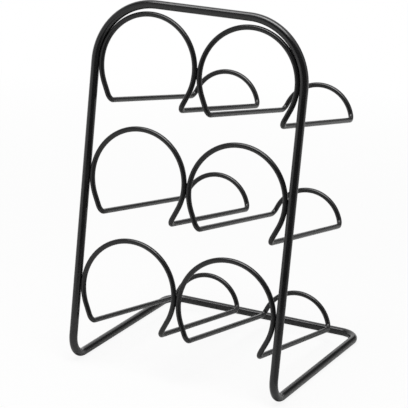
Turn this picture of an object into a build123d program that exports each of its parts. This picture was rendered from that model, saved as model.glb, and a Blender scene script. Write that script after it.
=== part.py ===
"""Leaning steel wire rack for six bottles.

One thick rod is bent into a front arch and a base loop. Six thinner wires, each bent into a front ring, two
runners and a rear arc, are welded into the arch in two columns and three rows. Units are millimetres and
degrees, +X is to the right, +Y to the back and +Z up, with the origin on the floor under the middle of the
rack.
"""
import os
from math import cos, radians, sin

from build123d import *

# Stock
ROD = 8.0  # diameter of the frame's rod
WIRE = 5.0  # diameter of the holders' wire

# Main frame
DEPTH = 220.0  # overall, from the feet to the back of the rear rail
ARCH_WIDTH = 212.0  # between the centrelines of the uprights
REAR_WIDTH = 217.0  # between the base rods where they meet the rear rail
ARCH_LENGTH = 349.3  # from the base rods to the top rod, along the lean
LEAN = 6.2  # how far the arch leans back from upright
TOP_BEND = 58.5  # centreline radius of the arch's two upper corners
FOOT_BEND = 21.5  # centreline radius where the uprights turn into the base rods
REAR_BEND = 18.0  # centreline radius where the base rods turn into the rear rail

# Holders
RING_RADIUS = 48.4  # centreline radius of the front ring
COLUMN = 51.0  # from the rack's middle to each column's middle
LOWEST_ROW = 77.2  # from the base rods to the lowest ring's centre, along the lean
ROW_PITCH = 107.2  # between rows, along the lean
LEG_SLANT = 25.0  # how far each leg below the ring slants inwards
RUNNER_DROP = 36.0  # from the ring's centre down to the runners, along the lean
RUNNER_LENGTH = 181.5  # from front corner to rear corner
RUNNER_FALL = 9.1  # how far the runners fall towards the back
REAR_RISE = 29.8  # from the runners to the top of the rear arc, square to the runners
REAR_SLANT = 22.0  # how far the rear arc's short legs slant inwards
CORNER_BEND = 7.0  # centreline radius of the wire's four corners

# Welds
ROD_GAP = 2.0  # between the ends of the frame's rod, filled by its butt weld
WIRE_GAP = 2.0  # between the ends of a holder's wire, filled by its butt weld
BUTT_PLACE = 0.62  # where along the runner a holder's wire is closed
BEAD_RADIUS = 2.2  # of a weld bead laid in the groove between two wires
BEAD_LENGTH = 12.0  # of that bead, along the wires
BEAD_ROUND = 1.9  # rounding of its two ends
BEAD_SETBACK = 3.0  # of the bead's middle behind the middle of the wires

ROWS = {"bottom": 0, "middle": 1, "top": 2}
SIDES = {"left": -1, "right": 1}

# Derived places
base_z = ROD / 2
rail_y = DEPTH / 2 - ROD / 2
# The foot bend cuts the corner between upright and base rod, so that corner lies in front of the bend.
foot_y = -rail_y - FOOT_BEND * ((1 + sin(radians(LEAN))) / cos(radians(LEAN)) - 1)
arch_up = Vector(0, sin(radians(LEAN)), cos(radians(LEAN)))
arch_back = Vector(0, cos(radians(LEAN)), -sin(radians(LEAN)))
runner_back = Vector(0, cos(radians(RUNNER_FALL)), -sin(radians(RUNNER_FALL)))
runner_up = Vector(0, sin(radians(RUNNER_FALL)), cos(radians(RUNNER_FALL)))


def on_arch(x, along):
    """A point of the arch's leaning plane: x across, and the distance along the lean from the base rods."""
    return Vector(x, foot_y, base_z) + arch_up * along


def row_height(row):
    """Distance along the lean from the base rods to the ring centres of a row."""
    return LOWEST_ROW + ROWS[row] * ROW_PITCH


def runner_points(row, side, hand):
    """The front and rear corners of one runner: hand is -1 for a holder's left runner, 1 for its right one."""
    slant = radians(LEG_SLANT)
    leg = (RUNNER_DROP - RING_RADIUS * sin(slant)) / cos(slant)
    half_gap = RING_RADIUS * cos(slant) - leg * sin(slant)
    front = on_arch(SIDES[side] * COLUMN + hand * half_gap, row_height(row) - RUNNER_DROP)
    return front, front + runner_back * RUNNER_LENGTH


def ring_end(row, side, hand):
    """Where the front ring ends and its straight leg begins."""
    slant = radians(LEG_SLANT)
    across = SIDES[side] * COLUMN + hand * RING_RADIUS * cos(slant)
    return on_arch(across, row_height(row) - RING_RADIUS * sin(slant))


def rear_arc(row, side):
    """The right end, top and left end of the rear arc, which is tangent to the two short slanting legs."""
    slant = radians(REAR_SLANT)
    _, right = runner_points(row, side, 1)
    _, left = runner_points(row, side, -1)
    middle = (left + right) * 0.5
    half_gap = (right.X - left.X) / 2
    radius = (half_gap * cos(slant) - REAR_RISE * sin(slant)) / (1 - sin(slant))
    centre = middle + runner_up * (REAR_RISE - radius)
    across = Vector(radius * cos(slant), 0, 0)
    lift = runner_up * (radius * sin(slant))
    return centre + across + lift, middle + runner_up * REAR_RISE, centre - across + lift


def butt_ends(row, side):
    """The two facing wire ends in a holder's left runner, the front one first."""
    front, rear = runner_points(row, side, -1)
    middle = front + (rear - front) * BUTT_PLACE
    return middle - runner_back * (WIRE_GAP / 2), middle + runner_back * (WIRE_GAP / 2)


def make_frame():
    """The rod of the main frame, from one side of its butt weld round to the other."""
    with BuildPart() as frame:
        with BuildLine():
            FilletPolyline(
                (ROD_GAP / 2, rail_y, base_z),
                (REAR_WIDTH / 2, rail_y, base_z),
                (ARCH_WIDTH / 2, foot_y, base_z),
                on_arch(ARCH_WIDTH / 2, ARCH_LENGTH),
                on_arch(-ARCH_WIDTH / 2, ARCH_LENGTH),
                (-ARCH_WIDTH / 2, foot_y, base_z),
                (-REAR_WIDTH / 2, rail_y, base_z),
                (-ROD_GAP / 2, rail_y, base_z),
                radius=[REAR_BEND, FOOT_BEND, TOP_BEND, TOP_BEND, FOOT_BEND, REAR_BEND],
            )
        with BuildSketch(Plane(origin=(ROD_GAP / 2, rail_y, base_z), z_dir=(1, 0, 0))):
            Circle(ROD / 2)
        sweep()
    return frame.part


def make_holder(row, side):
    """The wire of one holder, from one side of its butt weld round to the other."""
    gap_front, gap_rear = butt_ends(row, side)
    left_front, left_rear = runner_points(row, side, -1)
    right_front, right_rear = runner_points(row, side, 1)
    ring_left, ring_right = ring_end(row, side, -1), ring_end(row, side, 1)
    ring_top = on_arch(SIDES[side] * COLUMN, row_height(row) + RING_RADIUS)
    arc_right, arc_top, arc_left = rear_arc(row, side)
    with BuildPart() as holder:
        with BuildLine():
            FilletPolyline(gap_front, left_front, ring_left, radius=CORNER_BEND)
            ThreePointArc(ring_left, ring_top, ring_right)
            FilletPolyline(ring_right, right_front, right_rear, arc_right, radius=CORNER_BEND)
            ThreePointArc(arc_right, arc_top, arc_left)
            FilletPolyline(arc_left, left_rear, gap_rear, radius=CORNER_BEND)
        with BuildSketch(Plane(origin=gap_front, z_dir=-runner_back)):
            Circle(WIRE / 2)
        sweep()
    return holder.part


def make_butt_weld(start, end, diameter):
    """The weld between two facing wire ends, ground flush with the wire all round."""
    with BuildPart() as weld:
        with BuildSketch(Plane(origin=start, z_dir=end - start)):
            Circle(diameter / 2)
        extrude(amount=(end - start).length)
    return weld.part


def make_bead(touch, bars, rings):
    """A weld bead behind the touching point of two wires, hollowed where it lies against them.

    bars are (point, diameter) of the straight rods beside it, along the lean, and rings are (centre,
    radius, diameter) of the wire rings beside it, in the arch's plane.
    """
    middle = touch + arch_back * BEAD_SETBACK
    with BuildPart() as bead:
        with BuildSketch(Plane(origin=middle - arch_up * (BEAD_LENGTH / 2), z_dir=arch_up)):
            Circle(BEAD_RADIUS)
        extrude(amount=BEAD_LENGTH)
        fillet(bead.edges().filter_by(GeomType.CIRCLE), radius=BEAD_ROUND)
        for point, diameter in bars:
            with Locations(Plane(origin=point, z_dir=arch_up)):
                Cylinder(diameter / 2, 2 * BEAD_LENGTH, mode=Mode.SUBTRACT)
        for centre, radius, diameter in rings:
            with Locations(Plane(origin=centre, z_dir=arch_back)):
                Torus(radius, diameter / 2, mode=Mode.SUBTRACT)
    return bead.part


def make_side_weld(row, side):
    """The bead between a ring and the upright beside it, which starts to bend inwards at the top row."""
    sign, height = SIDES[side], row_height(row)
    upright = on_arch(sign * ARCH_WIDTH / 2, height)
    ring = on_arch(sign * COLUMN, height)
    bend = on_arch(sign * (ARCH_WIDTH / 2 - TOP_BEND), ARCH_LENGTH - TOP_BEND)
    touch = on_arch(sign * (COLUMN + RING_RADIUS + WIRE / 2), height)
    rings = [(ring, RING_RADIUS, WIRE)]
    if row == "top":
        rings.append((bend, TOP_BEND, ROD))
    return make_bead(touch, [(upright, ROD)], rings)


def make_centre_weld(row):
    """The bead between the two rings of a row."""
    height = row_height(row)
    rings = [(on_arch(sign * COLUMN, height), RING_RADIUS, WIRE) for sign in SIDES.values()]
    return make_bead(on_arch(0, height), [], rings)


def write(part, name):
    """Label one finished piece and write it under its own name."""
    part.label = name
    export_step(part, f"parts/{name}.step")


os.makedirs("parts", exist_ok=True)

write(make_frame(), "main_frame")
rail_ends = [Vector(hand * ROD_GAP / 2, rail_y, base_z) for hand in (-1, 1)]
write(make_butt_weld(*rail_ends, ROD), "frame_butt_weld")

for row in ROWS:
    for side in SIDES:
        write(make_holder(row, side), f"holder_{row}_{side}")
        write(make_butt_weld(*butt_ends(row, side), WIRE), f"butt_weld_{row}_{side}")
        write(make_side_weld(row, side), f"side_weld_{row}_{side}")
    write(make_centre_weld(row), f"centre_weld_{row}")
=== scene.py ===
"""Looks of a leaning steel wire wine rack with six holders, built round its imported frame.

One thick rod is bent into a front arch and a base loop. Six thinner wires, each bent into a front ring,
two runners and a rear arc, are welded into the arch in two columns and three rows, and one satin black
powder coat covers it all. Sizes are in metres and angles in radians, in the frame's own axes: +X to the
right, +Y to the back, +Z up.
"""

import logging
from dataclasses import dataclass, field
from enum import Enum
from functools import cache
from math import cos, pi, radians, sin, sqrt, tan

import bmesh
import bpy
from mathutils import Matrix, Vector


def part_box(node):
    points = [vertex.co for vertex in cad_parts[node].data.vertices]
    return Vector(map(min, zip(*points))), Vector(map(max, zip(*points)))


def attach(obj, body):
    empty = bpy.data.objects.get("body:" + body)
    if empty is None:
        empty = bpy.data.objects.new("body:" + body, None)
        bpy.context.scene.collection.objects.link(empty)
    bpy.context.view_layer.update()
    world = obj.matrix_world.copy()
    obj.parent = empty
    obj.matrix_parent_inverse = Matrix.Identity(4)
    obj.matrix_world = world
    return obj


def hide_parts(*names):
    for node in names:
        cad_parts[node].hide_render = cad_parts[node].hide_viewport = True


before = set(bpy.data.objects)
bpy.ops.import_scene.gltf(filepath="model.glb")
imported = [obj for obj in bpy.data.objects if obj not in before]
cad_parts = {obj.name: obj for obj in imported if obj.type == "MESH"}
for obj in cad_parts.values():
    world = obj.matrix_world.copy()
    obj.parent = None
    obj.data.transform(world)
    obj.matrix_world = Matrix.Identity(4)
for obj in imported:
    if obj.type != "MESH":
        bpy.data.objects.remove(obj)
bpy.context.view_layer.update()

log = logging.getLogger("wire_rack")

MM = 0.001
BODY = "root"

# A colour Mix node has its two colours and its result under these numbers.
MIX_FIRST, MIX_SECOND, MIX_RESULT = 6, 7, 2


class Row(Enum):
    """A row of holders, numbered upwards."""

    BOTTOM = 0
    MIDDLE = 1
    TOP = 2


class Side(Enum):
    """A column of holders, with the sign of its X."""

    LEFT = -1
    RIGHT = 1


class Slot(Enum):
    """The record's material slots."""

    FRAME = "frame_coating"
    HOLDER = "holder_coating"
    WELD = "weld_coating"


@dataclass(frozen=True)
class RackSizes:
    """Driving dimensions of the rack, and the places that follow from them."""

    rod: float = 8.0 * MM
    wire: float = 5.0 * MM
    depth: float = 220.0 * MM
    arch_width: float = 212.0 * MM
    rear_width: float = 217.0 * MM
    arch_length: float = 349.3 * MM
    lean: float = radians(6.2)
    top_bend: float = 58.5 * MM
    foot_bend: float = 21.5 * MM
    rear_bend: float = 18.0 * MM
    ring_radius: float = 48.4 * MM
    column: float = 51.0 * MM
    lowest_row: float = 77.2 * MM
    row_pitch: float = 107.2 * MM
    leg_slant: float = radians(25.0)
    runner_drop: float = 36.0 * MM
    runner_length: float = 181.5 * MM
    runner_fall: float = radians(9.1)
    rear_rise: float = 29.8 * MM
    rear_slant: float = radians(22.0)
    corner_bend: float = 7.0 * MM
    rod_gap: float = 2.0 * MM
    wire_gap: float = 2.0 * MM
    butt_place: float = 0.62

    @property
    def base_z(self) -> float:
        """Height of the base rods' centreline."""
        return self.rod / 2

    @property
    def rail_y(self) -> float:
        """Depth of the rear rail's centreline."""
        return self.depth / 2 - self.rod / 2

    @property
    def foot_y(self) -> float:
        """Depth of the sharp corner that each foot bend rounds off."""
        return -self.rail_y - self.foot_bend * ((1 + sin(self.lean)) / cos(self.lean) - 1)

    @property
    def arch_up(self) -> Vector:
        """Direction up the leaning arch."""
        return Vector((0, sin(self.lean), cos(self.lean)))

    @property
    def arch_back(self) -> Vector:
        """Direction square to the arch, to the back."""
        return Vector((0, cos(self.lean), -sin(self.lean)))

    @property
    def runner_back(self) -> Vector:
        """Direction along the runners, to the back."""
        return Vector((0, cos(self.runner_fall), -sin(self.runner_fall)))

    @property
    def runner_up(self) -> Vector:
        """Direction square to the runners, upwards."""
        return Vector((0, sin(self.runner_fall), cos(self.runner_fall)))

    def on_arch(self, x: float, along: float) -> Vector:
        """A point of the arch's plane.

        Args:
            x: The place across the rack.
            along: The distance from the base rods, along the lean.

        Returns:
            The point.
        """
        return Vector((x, self.foot_y, self.base_z)) + self.arch_up * along

    def ring_centre(self, row: Row, side: Side) -> Vector:
        """The middle of one holder's front ring."""
        return self.on_arch(side.value * self.column, self.lowest_row + row.value * self.row_pitch)

    def side_touch(self, row: Row, side: Side) -> Vector:
        """Where one ring touches the upright beside it."""
        return self.ring_centre(row, side) + Vector((side.value * (self.ring_radius + self.wire / 2), 0, 0))

    def centre_touch(self, row: Row) -> Vector:
        """Where the two rings of a row touch."""
        return self.on_arch(0, self.lowest_row + row.value * self.row_pitch)

    def touches(self) -> list[Vector]:
        """Every place where two wires are welded side by side."""
        beside = [self.side_touch(row, side) for row in Row for side in Side]
        return beside + [self.centre_touch(row) for row in Row]


def linear(hex_colour: str) -> tuple[float, float, float, float]:
    """Turn an sRGB hex colour into linear light.

    Args:
        hex_colour: Six hex digits, such as "1B1B1C".

    Returns:
        Red, green, blue and an alpha of 1.
    """
    parts = [int(hex_colour[at:at + 2], 16) / 255 for at in (0, 2, 4)]
    red, green, blue = (c / 12.92 if c <= 0.04045 else ((c + 0.055) / 1.055) ** 2.4 for c in parts)
    return red, green, blue, 1.0


def add_node(
    tree: bpy.types.NodeTree, kind: str, links: dict | None = None, **settings: object
) -> bpy.types.Node:
    """Add one node with its settings and links.

    Args:
        tree: The node tree that gets the node.
        kind: Blender's name of the node's type.
        links: For each of the node's inputs that is linked, the output socket that feeds it. Inputs may be
            named or numbered.
        settings: Values of the node's own properties, and of its inputs under their names, with _ for a
            blank.

    Returns:
        The node.
    """
    node = tree.nodes.new(kind)
    for key, value in settings.items():
        if hasattr(node, key):
            setattr(node, key, value)
        else:
            node.inputs[key.replace("_", " ")].default_value = value
    for socket, output in (links or {}).items():
        tree.links.new(output, node.inputs[socket])
    return node


@dataclass(frozen=True)
class PowderCoat:
    """Satin black polyester powder coat, sprayed dry on steel and baked.

    The film is opaque black with a low, even sheen: dark where it faces the eye, pale where it glances.
    Baking leaves a faint orange peel, and the gloss drifts a little from place to place. In the narrow
    grooves beside a weld less powder settles, so the film there is drier and duller.
    """

    name: str
    deep: str = "09090A"
    thin: str = "101011"
    roughness: float = 0.20
    roughness_drift: float = 0.07
    groove_dulling: float = 0.20
    groove_reach: float = 14.0 * MM
    refraction: float = 1.5
    specular_level: float = 0.5
    peel_width: float = 1.6 * MM
    peel_height: float = 0.045 * MM
    peel_octaves: float = 1.5
    drift_width: float = 26.0 * MM
    drift_octaves: float = 2.0
    drift_low: float = 0.3
    drift_high: float = 0.7

    @cache
    def material(self) -> bpy.types.Material:
        """Make the coat's material, once.

        Returns:
            A node material that reads Object coordinates and the groove attribute of the wires.
        """
        made = bpy.data.materials.new(self.name)
        made.use_nodes = True
        tree = made.node_tree
        tree.nodes.clear()
        place = add_node(tree, "ShaderNodeTexCoord").outputs["Object"]
        drift = add_node(tree, "ShaderNodeTexNoise", {"Vector": place}, Scale=1 / self.drift_width,
                         Detail=self.drift_octaves)
        # The peel's real height is a few thousandths of a millimetre. It is drawn higher, so that it shows.
        peel = add_node(tree, "ShaderNodeTexNoise", {"Vector": place}, Scale=1 / self.peel_width,
                        Detail=self.peel_octaves)
        groove = add_node(tree, "ShaderNodeAttribute", attribute_name="groove")
        film = add_node(tree, "ShaderNodeMix", {0: drift.outputs["Fac"]}, data_type="RGBA")
        film.inputs[MIX_FIRST].default_value = linear(self.deep)
        film.inputs[MIX_SECOND].default_value = linear(self.thin)
        low, high = self.roughness - self.roughness_drift / 2, self.roughness + self.roughness_drift / 2
        gloss = add_node(
            tree, "ShaderNodeMapRange", {"Value": drift.outputs["Fac"]},
            From_Min=self.drift_low, From_Max=self.drift_high, To_Min=low, To_Max=high,
        )
        dulled = add_node(tree, "ShaderNodeMath", {0: groove.outputs["Fac"], 2: gloss.outputs["Result"]},
                          operation="MULTIPLY_ADD")
        dulled.inputs[1].default_value = self.groove_dulling
        bump = add_node(tree, "ShaderNodeBump", {"Height": peel.outputs["Fac"]}, Strength=1.0,
                        Distance=self.peel_height)
        shader = add_node(
            tree, "ShaderNodeBsdfPrincipled",
            {"Base Color": film.outputs[MIX_RESULT], "Roughness": dulled.outputs[0],
             "Normal": bump.outputs["Normal"]},
            IOR=self.refraction, Specular_IOR_Level=self.specular_level,
        )
        add_node(tree, "ShaderNodeOutputMaterial", {"Surface": shader.outputs["BSDF"]})
        return made


class DrawnBar:
    """A round bar drawn out of a circle: its open end is fed on, swung round a former or swelled."""

    def __init__(self, start: Vector, heading: Vector, diameter: float, sides: int) -> None:
        """Begin the bar with one open ring.

        Args:
            start: The middle of the first ring.
            heading: The way the bar leaves it.
            diameter: The ring's diameter.
            sides: The number of faces round the bar.
        """
        self.mesh = bmesh.new()
        self.tip = start.copy()
        self.heading = heading.normalized()
        self.diameter = diameter
        facing = self.heading.to_track_quat("Z", "Y").to_matrix().to_4x4()
        bmesh.ops.create_circle(self.mesh, segments=sides, radius=diameter / 2,
                                matrix=Matrix.Translation(start) @ facing)
        self.first = self.mesh.edges[:]
        self.rim = self.mesh.edges[:]

    def feed(self, length: float, diameter: float | None = None) -> None:
        """Draw the open end straight on.

        Args:
            length: How far.
            diameter: The new end's diameter, where it changes.
        """
        grown = bmesh.ops.extrude_edge_only(self.mesh, edges=self.rim)["geom"]
        verts = [item for item in grown if isinstance(item, bmesh.types.BMVert)]
        self.rim = [item for item in grown if isinstance(item, bmesh.types.BMEdge)]
        bmesh.ops.translate(self.mesh, verts=verts, vec=self.heading * length)
        self.tip = self.tip + self.heading * length
        if diameter is not None:
            share = diameter / self.diameter
            bmesh.ops.scale(self.mesh, verts=verts, vec=(share, share, share),
                            space=Matrix.Translation(-self.tip))
            self.diameter = diameter

    def feed_to(self, point: Vector, step: float) -> None:
        """Draw the open end on to a point straight ahead, in equal steps.

        Args:
            point: Where the end stops.
            step: About how long each step is.
        """
        length = (point - self.tip).length
        count = max(1, round(length / step))
        for _ in range(count):
            self.feed(length / count)

    def bend(self, pivot: Vector, axis: Vector, angle: float, step: float) -> None:
        """Swing the open end round a former.

        Args:
            pivot: The former's middle.
            axis: Its axis, by the right-hand rule.
            angle: How far the end is swung.
            step: The angle between rings.
        """
        count = max(2, round(angle / step))
        swung = bmesh.ops.spin(self.mesh, geom=self.rim, cent=pivot, axis=axis, dvec=(0, 0, 0), angle=angle,
                               steps=count, use_merge=False, use_duplicate=False)
        self.rim = [item for item in swung["geom_last"] if isinstance(item, bmesh.types.BMEdge)]
        turn = Matrix.Rotation(angle, 3, axis)
        self.heading = turn @ self.heading
        self.tip = pivot + turn @ (self.tip - pivot)

    def corner(
        self, point: Vector, onward: Vector, radius: float, feed_step: float, bend_step: float
    ) -> None:
        """Run to a corner and bend round it.

        Args:
            point: The sharp corner.
            onward: The next point, which the bar heads for after it.
            radius: The bend's centreline radius.
            feed_step: About how long each step on the straight is.
            bend_step: The angle between rings in the bend.
        """
        ahead = (onward - point).normalized()
        angle = self.heading.angle(ahead)
        self.feed_to(point - self.heading * (radius * tan(angle / 2)), feed_step)
        axis = self.heading.cross(ahead).normalized()
        self.bend(self.tip + axis.cross(self.heading) * radius, axis, angle, bend_step)

    def close(self) -> bmesh.types.BMesh:
        """Cap both ends.

        Returns:
            The bar's closed mesh, smooth along its sides and flat at its ends.
        """
        for face in self.mesh.faces:
            face.smooth = True
        for rim in (self.first, self.rim):
            for cap in bmesh.ops.contextual_create(self.mesh, geom=rim)["faces"]:
                cap.smooth = False
            for edge in rim:
                edge.smooth = False
        bmesh.ops.recalc_face_normals(self.mesh, faces=self.mesh.faces[:])
        return self.mesh


@dataclass
class Piece:
    """A sub-assembly's finished mesh, its coat and the CAD node that it stands for."""

    name: str
    node: str
    slot: Slot
    coat: PowderCoat
    mesh: bmesh.types.BMesh

    def mark_grooves(self, touches: list[Vector]) -> None:
        """Write how near each point is to a weld's groove: 1 at the weld and 0 beyond its reach.

        Args:
            touches: The places where two wires touch.
        """
        layer = self.mesh.verts.layers.float.new("groove")
        for vert in self.mesh.verts:
            nearest = min((vert.co - touch).length for touch in touches)
            vert[layer] = max(0.0, 1 - nearest / self.coat.groove_reach)

    def place(self) -> bpy.types.Object:
        """Turn the mesh into an object of the scene and dress it.

        Returns:
            The object, which rides on the rack's body in place of its CAD node.
        """
        data = bpy.data.meshes.new(self.name)
        self.mesh.to_mesh(data)
        self.mesh.free()
        data.materials.append(self.coat.material())
        made = bpy.data.objects.new(self.name, data)
        bpy.context.scene.collection.objects.link(made)
        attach(made, BODY)
        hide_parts(self.node)
        low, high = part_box(self.node)
        tall = (high.z - low.z) / MM
        log.info("%s: %d faces, for %s, %.0f mm tall", self.name, len(data.polygons), self.node, tall)
        return made


@dataclass
class MainFrame:
    """The thick rod: front arch, two foot bends, base side rods and rear rail, closed by one butt weld."""

    sizes: RackSizes
    coat: PowderCoat = PowderCoat("satin_black_coat_on_rod")
    sides: int = 40
    feed_step: float = 6.0 * MM
    bend_step: float = radians(4.0)

    def build(self) -> Piece:
        """Bend the rod from one side of its butt weld round to the other.

        Returns:
            The rod's piece.
        """
        s = self.sizes
        half_arch, half_rear = s.arch_width / 2, s.rear_width / 2
        weld = Vector((s.rod_gap / 2, s.rail_y, s.base_z))
        corners = [
            (Vector((half_rear, s.rail_y, s.base_z)), s.rear_bend),
            (Vector((half_arch, s.foot_y, s.base_z)), s.foot_bend),
            (s.on_arch(half_arch, s.arch_length), s.top_bend),
            (s.on_arch(-half_arch, s.arch_length), s.top_bend),
            (Vector((-half_arch, s.foot_y, s.base_z)), s.foot_bend),
            (Vector((-half_rear, s.rail_y, s.base_z)), s.rear_bend),
        ]
        end = Vector((-s.rod_gap / 2, s.rail_y, s.base_z))
        onward = [point for point, _ in corners[1:]] + [end]
        rod = DrawnBar(weld, Vector((1, 0, 0)), s.rod, self.sides)
        for (point, radius), after in zip(corners, onward):
            rod.corner(point, after, radius, self.feed_step, self.bend_step)
        rod.feed_to(end, self.feed_step)
        return Piece("frame_rod", "main_frame", Slot.FRAME, self.coat, rod.close())

    def build_weld(self) -> Piece:
        """The butt weld in the rear rail, ground flush with the rod.

        Returns:
            The weld's piece.
        """
        s = self.sizes
        weld = DrawnBar(Vector((-s.rod_gap / 2, s.rail_y, s.base_z)), Vector((1, 0, 0)), s.rod, self.sides)
        weld.feed(s.rod_gap)
        return Piece("frame_rod_weld", "frame_butt_weld", Slot.WELD, self.coat, weld.close())


@dataclass
class Holder:
    """One holder: a wire bent into a front ring, two legs, two runners and a rear arc, and its weld."""

    sizes: RackSizes
    row: Row
    side: Side
    coat: PowderCoat = PowderCoat("satin_black_coat_on_wire", roughness=0.26, specular_level=0.44)
    sides: int = 28
    feed_step: float = 6.0 * MM
    ring_step: float = radians(3.0)
    corner_step: float = radians(8.0)
    label: str = field(init=False)

    def __post_init__(self) -> None:
        """Name the holder after its row and column."""
        self.label = f"{self.row.name.lower()}_{self.side.name.lower()}"

    def runner(self, hand: int) -> tuple[Vector, Vector]:
        """The corners of one runner.

        Args:
            hand: -1 for the left runner and 1 for the right one.

        Returns:
            Its front and its rear corner.
        """
        s = self.sizes
        leg = (s.runner_drop - s.ring_radius * sin(s.leg_slant)) / cos(s.leg_slant)
        half_gap = s.ring_radius * cos(s.leg_slant) - leg * sin(s.leg_slant)
        below = s.ring_centre(self.row, self.side) - s.arch_up * s.runner_drop
        front = below + Vector((hand * half_gap, 0, 0))
        return front, front + s.runner_back * s.runner_length

    def ring_end(self, hand: int) -> Vector:
        """Where the front ring goes over into its straight leg.

        Args:
            hand: -1 for the left leg and 1 for the right one.

        Returns:
            The point.
        """
        s = self.sizes
        across = Vector((hand * s.ring_radius * cos(s.leg_slant), 0, 0))
        return s.ring_centre(self.row, self.side) + across - s.arch_up * (s.ring_radius * sin(s.leg_slant))

    def rear_arc(self) -> tuple[Vector, float]:
        """The rear arc, which is tangent to its two short slanting legs.

        Returns:
            Its centre and its radius.
        """
        s = self.sizes
        left, right = self.runner(-1)[1], self.runner(1)[1]
        half_gap = (right - left).length / 2
        radius = (half_gap * cos(s.rear_slant) - s.rear_rise * sin(s.rear_slant)) / (1 - sin(s.rear_slant))
        return (left + right) / 2 + s.runner_up * (s.rear_rise - radius), radius

    def rear_end(self, hand: int) -> Vector:
        """Where the rear arc goes over into its short leg.

        Args:
            hand: -1 for the left leg and 1 for the right one.

        Returns:
            The point.
        """
        s = self.sizes
        centre, radius = self.rear_arc()
        across = Vector((hand * radius * cos(s.rear_slant), 0, 0))
        return centre + across + s.runner_up * (radius * sin(s.rear_slant))

    def butt_ends(self) -> tuple[Vector, Vector]:
        """The two facing wire ends in the left runner.

        Returns:
            The front one and the rear one.
        """
        s = self.sizes
        front, rear = self.runner(-1)
        middle = front.lerp(rear, s.butt_place)
        return middle - s.runner_back * (s.wire_gap / 2), middle + s.runner_back * (s.wire_gap / 2)

    def build(self) -> Piece:
        """Bend the wire from one side of its butt weld round to the other.

        Returns:
            The wire's piece.
        """
        s = self.sizes
        start, end = self.butt_ends()
        (left_front, left_rear), (right_front, right_rear) = self.runner(-1), self.runner(1)
        ring_turn, rear_turn = pi + 2 * s.leg_slant, pi - 2 * s.rear_slant
        wire = DrawnBar(start, -s.runner_back, s.wire, self.sides)
        wire.corner(left_front, self.ring_end(-1), s.corner_bend, self.feed_step, self.corner_step)
        wire.feed_to(self.ring_end(-1), self.feed_step)
        wire.bend(s.ring_centre(self.row, self.side), s.arch_back, ring_turn, self.ring_step)
        wire.corner(right_front, right_rear, s.corner_bend, self.feed_step, self.corner_step)
        wire.corner(right_rear, self.rear_end(1), s.corner_bend, self.feed_step, self.corner_step)
        wire.feed_to(self.rear_end(1), self.feed_step)
        wire.bend(self.rear_arc()[0], -s.runner_back, rear_turn, self.ring_step)
        wire.corner(left_rear, end, s.corner_bend, self.feed_step, self.corner_step)
        wire.feed_to(end, self.feed_step)
        name, node = f"holder_wire_{self.label}", f"holder_{self.label}"
        return Piece(name, node, Slot.HOLDER, self.coat, wire.close())

    def build_weld(self) -> Piece:
        """The butt weld that closes the wire, ground flush with it.

        Returns:
            The weld's piece.
        """
        s = self.sizes
        start, end = self.butt_ends()
        weld = DrawnBar(start, end - start, s.wire, self.sides)
        weld.feed(s.wire_gap)
        name, node = f"holder_wire_weld_{self.label}", f"butt_weld_{self.label}"
        return Piece(name, node, Slot.WELD, self.coat, weld.close())


@dataclass
class SeamWeld:
    """A short bead laid behind two touching wires, with the ripples of its pools one over the other."""

    sizes: RackSizes
    name: str
    node: str
    touch: Vector
    coat: PowderCoat = PowderCoat("satin_black_coat_on_seam", roughness=0.30, specular_level=0.44)
    radius: float = 2.2 * MM
    length: float = 12.0 * MM
    setback: float = 3.0 * MM
    pools: int = 7
    ripple: float = 0.09
    crescent: float = 0.16 / MM
    rings: int = 72
    sides: int = 24

    def build(self) -> Piece:
        """Lay the bead upwards, pool over pool.

        Returns:
            The bead's piece.
        """
        s = self.sizes
        middle = self.touch + s.arch_back * self.setback
        # The rings crowd towards both ends, which they round off.
        heights = [-self.length / 2 * cos(pi * ring / self.rings) for ring in range(1, self.rings)]
        bead = DrawnBar(middle + s.arch_up * heights[0], s.arch_up, 2 * self.swell(heights[0]), self.sides)
        for before, height in zip(heights, heights[1:]):
            bead.feed(height - before, 2 * self.swell(height))
        mesh = bead.close()
        for vert in mesh.verts:
            off = vert.co - middle
            # Each pool is pushed up in the middle by the one under it, so the ripples are crescents.
            vert.co -= s.arch_up * (self.crescent * off.x ** 2)
        return Piece(self.name, self.node, Slot.WELD, self.coat, mesh)

    def swell(self, height: float) -> float:
        """The bead's radius: rounded off at both ends, with a scallop over each pool.

        Args:
            height: The place along the bead, counted from its middle.

        Returns:
            The radius.
        """
        along = 2 * height / self.length
        scallop = abs(sin(pi * self.pools * (along + 1) / 2))
        return self.radius * sqrt(1 - along ** 4) * (1 - self.ripple * (1 - scallop))


def stage_object(name: str, mesh: bmesh.types.BMesh, material: bpy.types.Material) -> bpy.types.Object:
    """Turn a mesh into an object of the stage, which is not part of the rack.

    Args:
        name: The object's name.
        mesh: Its mesh, which is used up.
        material: Its material.

    Returns:
        The object.
    """
    data = bpy.data.meshes.new(name)
    mesh.to_mesh(data)
    mesh.free()
    data.materials.append(material)
    made = bpy.data.objects.new(name, data)
    bpy.context.scene.collection.objects.link(made)
    return made


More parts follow.
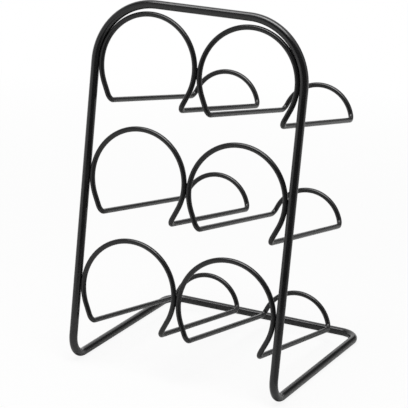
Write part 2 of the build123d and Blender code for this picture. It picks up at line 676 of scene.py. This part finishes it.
@dataclass(frozen=True)
class GreyCard:
    """A grey card that only reflections see: it glows with its grey, lit by no lamp, and so paints a darker
    reflection into the coat.

    It faces the rack, and stands upright unless it is laid back. Its heading is counted from the front
    towards the right, its lift is that of its middle, and its grey is what a mirror would show.
    """

    name: str
    grey: str
    heading: float
    distance: float
    lift: float
    width: float
    height: float
    laid_back: float = 0.0

    def build(self) -> None:
        """Put the card up."""
        mesh = bmesh.new()
        bmesh.ops.create_grid(mesh, x_segments=1, y_segments=1, size=0.5)
        bmesh.ops.scale(mesh, verts=mesh.verts[:], vec=(self.width, self.height, 1))
        standing = Matrix.Rotation(pi / 2 - self.laid_back, 4, "X")
        away = Matrix.Translation((0, -self.distance, self.lift))
        round_rack = Matrix.Rotation(self.heading, 4, "Z")
        bmesh.ops.transform(mesh, verts=mesh.verts[:], matrix=round_rack @ away @ standing)
        painted_reflection = bpy.data.materials.new(f"{self.name}_felt")
        painted_reflection.use_nodes = True
        painted_reflection.node_tree.nodes.clear()
        # Painted reflection: the card glows with its own grey at strength 1, so the coat mirrors that grey
        # and no lamp's light.
        reflected_grey = add_node(painted_reflection.node_tree, "ShaderNodeEmission", Color=linear(self.grey), Strength=1.0)
        add_node(painted_reflection.node_tree, "ShaderNodeOutputMaterial", {"Surface": reflected_grey.outputs[0]})
        card = stage_object(self.name, mesh, painted_reflection)
        card.visible_camera = card.visible_diffuse = card.visible_shadow = card.visible_transmission = False


@dataclass(frozen=True)
class Softbox:
    """A soft lamp that faces the rack. Its heading is counted from the front towards the right."""

    name: str
    power: float
    heading: float
    height: float
    distance: float
    width: float
    depth: float
    aim: tuple[float, float, float] = (0.0, 0.0, 0.2)

    def build(self) -> None:
        """Hang the lamp up."""
        lamp = bpy.data.lights.new(self.name, "AREA")
        lamp.shape = "RECTANGLE"
        lamp.size, lamp.size_y = self.width, self.depth
        lamp.energy = self.power
        softbox = bpy.data.objects.new(self.name, lamp)
        bpy.context.scene.collection.objects.link(softbox)
        level = cos(self.height)
        away = Vector((level * sin(self.heading), -level * cos(self.heading), sin(self.height)))
        softbox.location = Vector(self.aim) + away * self.distance
        softbox.rotation_euler = away.to_track_quat("Z", "Y").to_euler()


@dataclass(frozen=True)
class Studio:
    """The stage round the rack: a white floor, soft light from above, glowing grey cards that paint the
    reflections, and the camera.
    """

    floor_side: float = 12.0
    floor_colour: str = "E8E8E7"
    shadow_near: float = 0.35
    shadow_far: float = 1.3
    whitening: float = 0.9
    fill: float = 0.25
    target: tuple[float, float, float] = (-1.73 * MM, -45.58 * MM, 162.36 * MM)
    azimuth: float = radians(25.46)
    elevation: float = radians(16.25)
    roll: float = radians(2.66)
    distance: float = 1.6042
    focal_pixels: float = 1689.8
    image_side: int = 408
    sensor: float = 36.0
    cards: tuple[GreyCard, ...] = (
        GreyCard("front_card", "606060", radians(36.0), distance=0.5, lift=0.425, width=1.15, height=0.85),
        GreyCard("back_card", "5C5C5C", radians(155.0), distance=2.5, lift=1.25, width=2.8, height=1.3),
        GreyCard("low_back_card", "B0B0B0", radians(150.0), distance=2.5, lift=0.3, width=2.6, height=0.6),
        GreyCard("left_card", "D8D8D8", radians(-48.0), distance=1.5, lift=0.70, width=2.7, height=0.9),
        GreyCard("high_left_card", "808080", radians(-48.0), distance=1.5, lift=1.85, width=2.7, height=1.4),
        # Painted shade on the floor that only reflections see: the floor mirrored beside the rods comes out
        # darker.
        GreyCard("floor_card", "C8C8C8", radians(90.0), distance=0.65, lift=0.001, width=1.1, height=1.0,
                 laid_back=radians(90.0)),
    )
    lamps: tuple[Softbox, ...] = (
        Softbox("wide_softbox", 22.0, radians(-8.0), radians(73.0), distance=1.5, width=1.5, depth=0.95),
        Softbox("small_softbox", 4.8, radians(20.0), radians(76.0), distance=1.4, width=0.7, depth=0.4),
    )

    def build_floor(self) -> None:
        """Lay the floor."""
        mesh = bmesh.new()
        bmesh.ops.create_grid(mesh, x_segments=1, y_segments=1, size=self.floor_side / 2)
        stage_object("floor", mesh, self.floor_material())

    def floor_material(self) -> bpy.types.Material:
        """Matt white paper, which goes over into plain white away from the rack.

        Near the rack the eye sees it close to white, with a faint shadow, and mirrors see the paper itself,
        with the whole shadow.

        Returns:
            The floor's material.
        """
        made = bpy.data.materials.new("white_paper")
        made.use_nodes = True
        tree = made.node_tree
        tree.nodes.clear()
        paper = add_node(tree, "ShaderNodeBsdfDiffuse", Color=linear(self.floor_colour))
        glow = add_node(tree, "ShaderNodeEmission", Strength=1.0)
        place = add_node(tree, "ShaderNodeTexCoord").outputs["Object"]
        away = add_node(tree, "ShaderNodeVectorMath", {0: place}, operation="LENGTH")
        by_eye = add_node(tree, "ShaderNodeLightPath").outputs["Is Camera Ray"]
        near = add_node(tree, "ShaderNodeMath", {0: by_eye}, operation="MULTIPLY")
        near.inputs[1].default_value = self.whitening
        white = add_node(
            tree, "ShaderNodeMapRange", {"Value": away.outputs["Value"], "To Min": near.outputs[0]},
            From_Min=self.shadow_near, From_Max=self.shadow_far, To_Max=1.0,
        )
        share = add_node(tree, "ShaderNodeMath", {0: self.seen_directly(tree), 1: white.outputs["Result"]},
                         operation="MULTIPLY")
        both = add_node(tree, "ShaderNodeMixShader",
                        {0: share.outputs[0], 1: paper.outputs[0], 2: glow.outputs[0]})
        add_node(tree, "ShaderNodeOutputMaterial", {"Surface": both.outputs[0]})
        return made

    def seen_directly(self, tree: bpy.types.NodeTree) -> bpy.types.NodeSocket:
        """Tell what the eye, mirrors and glass see from what only lights the scene.

        Args:
            tree: The node tree that gets the nodes.

        Returns:
            An output that is 1 for the first and 0 for the second.
        """
        path = add_node(tree, "ShaderNodeLightPath").outputs
        mirrored = add_node(tree, "ShaderNodeMath", {0: path["Is Camera Ray"], 1: path["Is Glossy Ray"]},
                            operation="MAXIMUM")
        clear = add_node(tree, "ShaderNodeMath", {0: mirrored.outputs[0], 1: path["Is Transmission Ray"]},
                         operation="MAXIMUM")
        return clear.outputs[0]

    def build_world(self) -> None:
        """White surroundings to the eye, and a plain level of light from them."""
        world = bpy.data.worlds.new("studio")
        bpy.context.scene.world = world
        world.use_nodes = True
        tree = world.node_tree
        tree.nodes.clear()
        fill = add_node(tree, "ShaderNodeBackground", Color=linear("FFFFFF"), Strength=self.fill)
        white = add_node(tree, "ShaderNodeBackground", Color=linear("FFFFFF"), Strength=1.0)
        both = add_node(tree, "ShaderNodeMixShader",
                        {0: self.seen_directly(tree), 1: fill.outputs[0], 2: white.outputs[0]})
        add_node(tree, "ShaderNodeOutputWorld", {"Surface": both.outputs[0]})

    def build_camera(self) -> None:
        """Set up the camera where the photograph was taken from."""
        back = Vector((sin(self.azimuth) * cos(self.elevation), -cos(self.azimuth) * cos(self.elevation),
                       sin(self.elevation)))
        lens = bpy.data.cameras.new("camera")
        lens.sensor_width = self.sensor
        lens.lens = self.focal_pixels / self.image_side * self.sensor
        camera = bpy.data.objects.new("camera", lens)
        bpy.context.scene.collection.objects.link(camera)
        level = (-back).to_track_quat("-Z", "Y").to_matrix()
        camera.matrix_world = (Matrix.Translation(Vector(self.target) + back * self.distance)
                               @ (level @ Matrix.Rotation(self.roll, 3, "Z")).to_4x4())
        bpy.context.scene.camera = camera

    def build(self) -> None:
        """Set up the whole stage."""
        self.build_floor()
        self.build_world()
        self.build_camera()
        for part in self.cards + self.lamps:
            part.build()
        bpy.context.scene.view_settings.view_transform = "Standard"


def main() -> None:
    """Build the rack's pieces in order, dress them and set the stage."""
    logging.basicConfig(level=logging.INFO, format="%(name)s: %(message)s")
    sizes = RackSizes()
    rod = MainFrame(sizes)
    pieces = [rod.build(), rod.build_weld()]
    for row in Row:
        for side in Side:
            holder = Holder(sizes, row, side)
            pieces += [holder.build(), holder.build_weld()]
            pieces.append(SeamWeld(sizes, f"seam_weld_{holder.label}", f"side_weld_{holder.label}",
                                   sizes.side_touch(row, side)).build())
        name = row.name.lower()
        pieces.append(SeamWeld(sizes, f"seam_weld_{name}_centre", f"centre_weld_{name}",
                               sizes.centre_touch(row)).build())
    touches = sizes.touches()
    for piece in pieces:
        piece.mark_grooves(touches)
        piece.place()
    Studio().build()


if __name__ == "__main__":
    main()
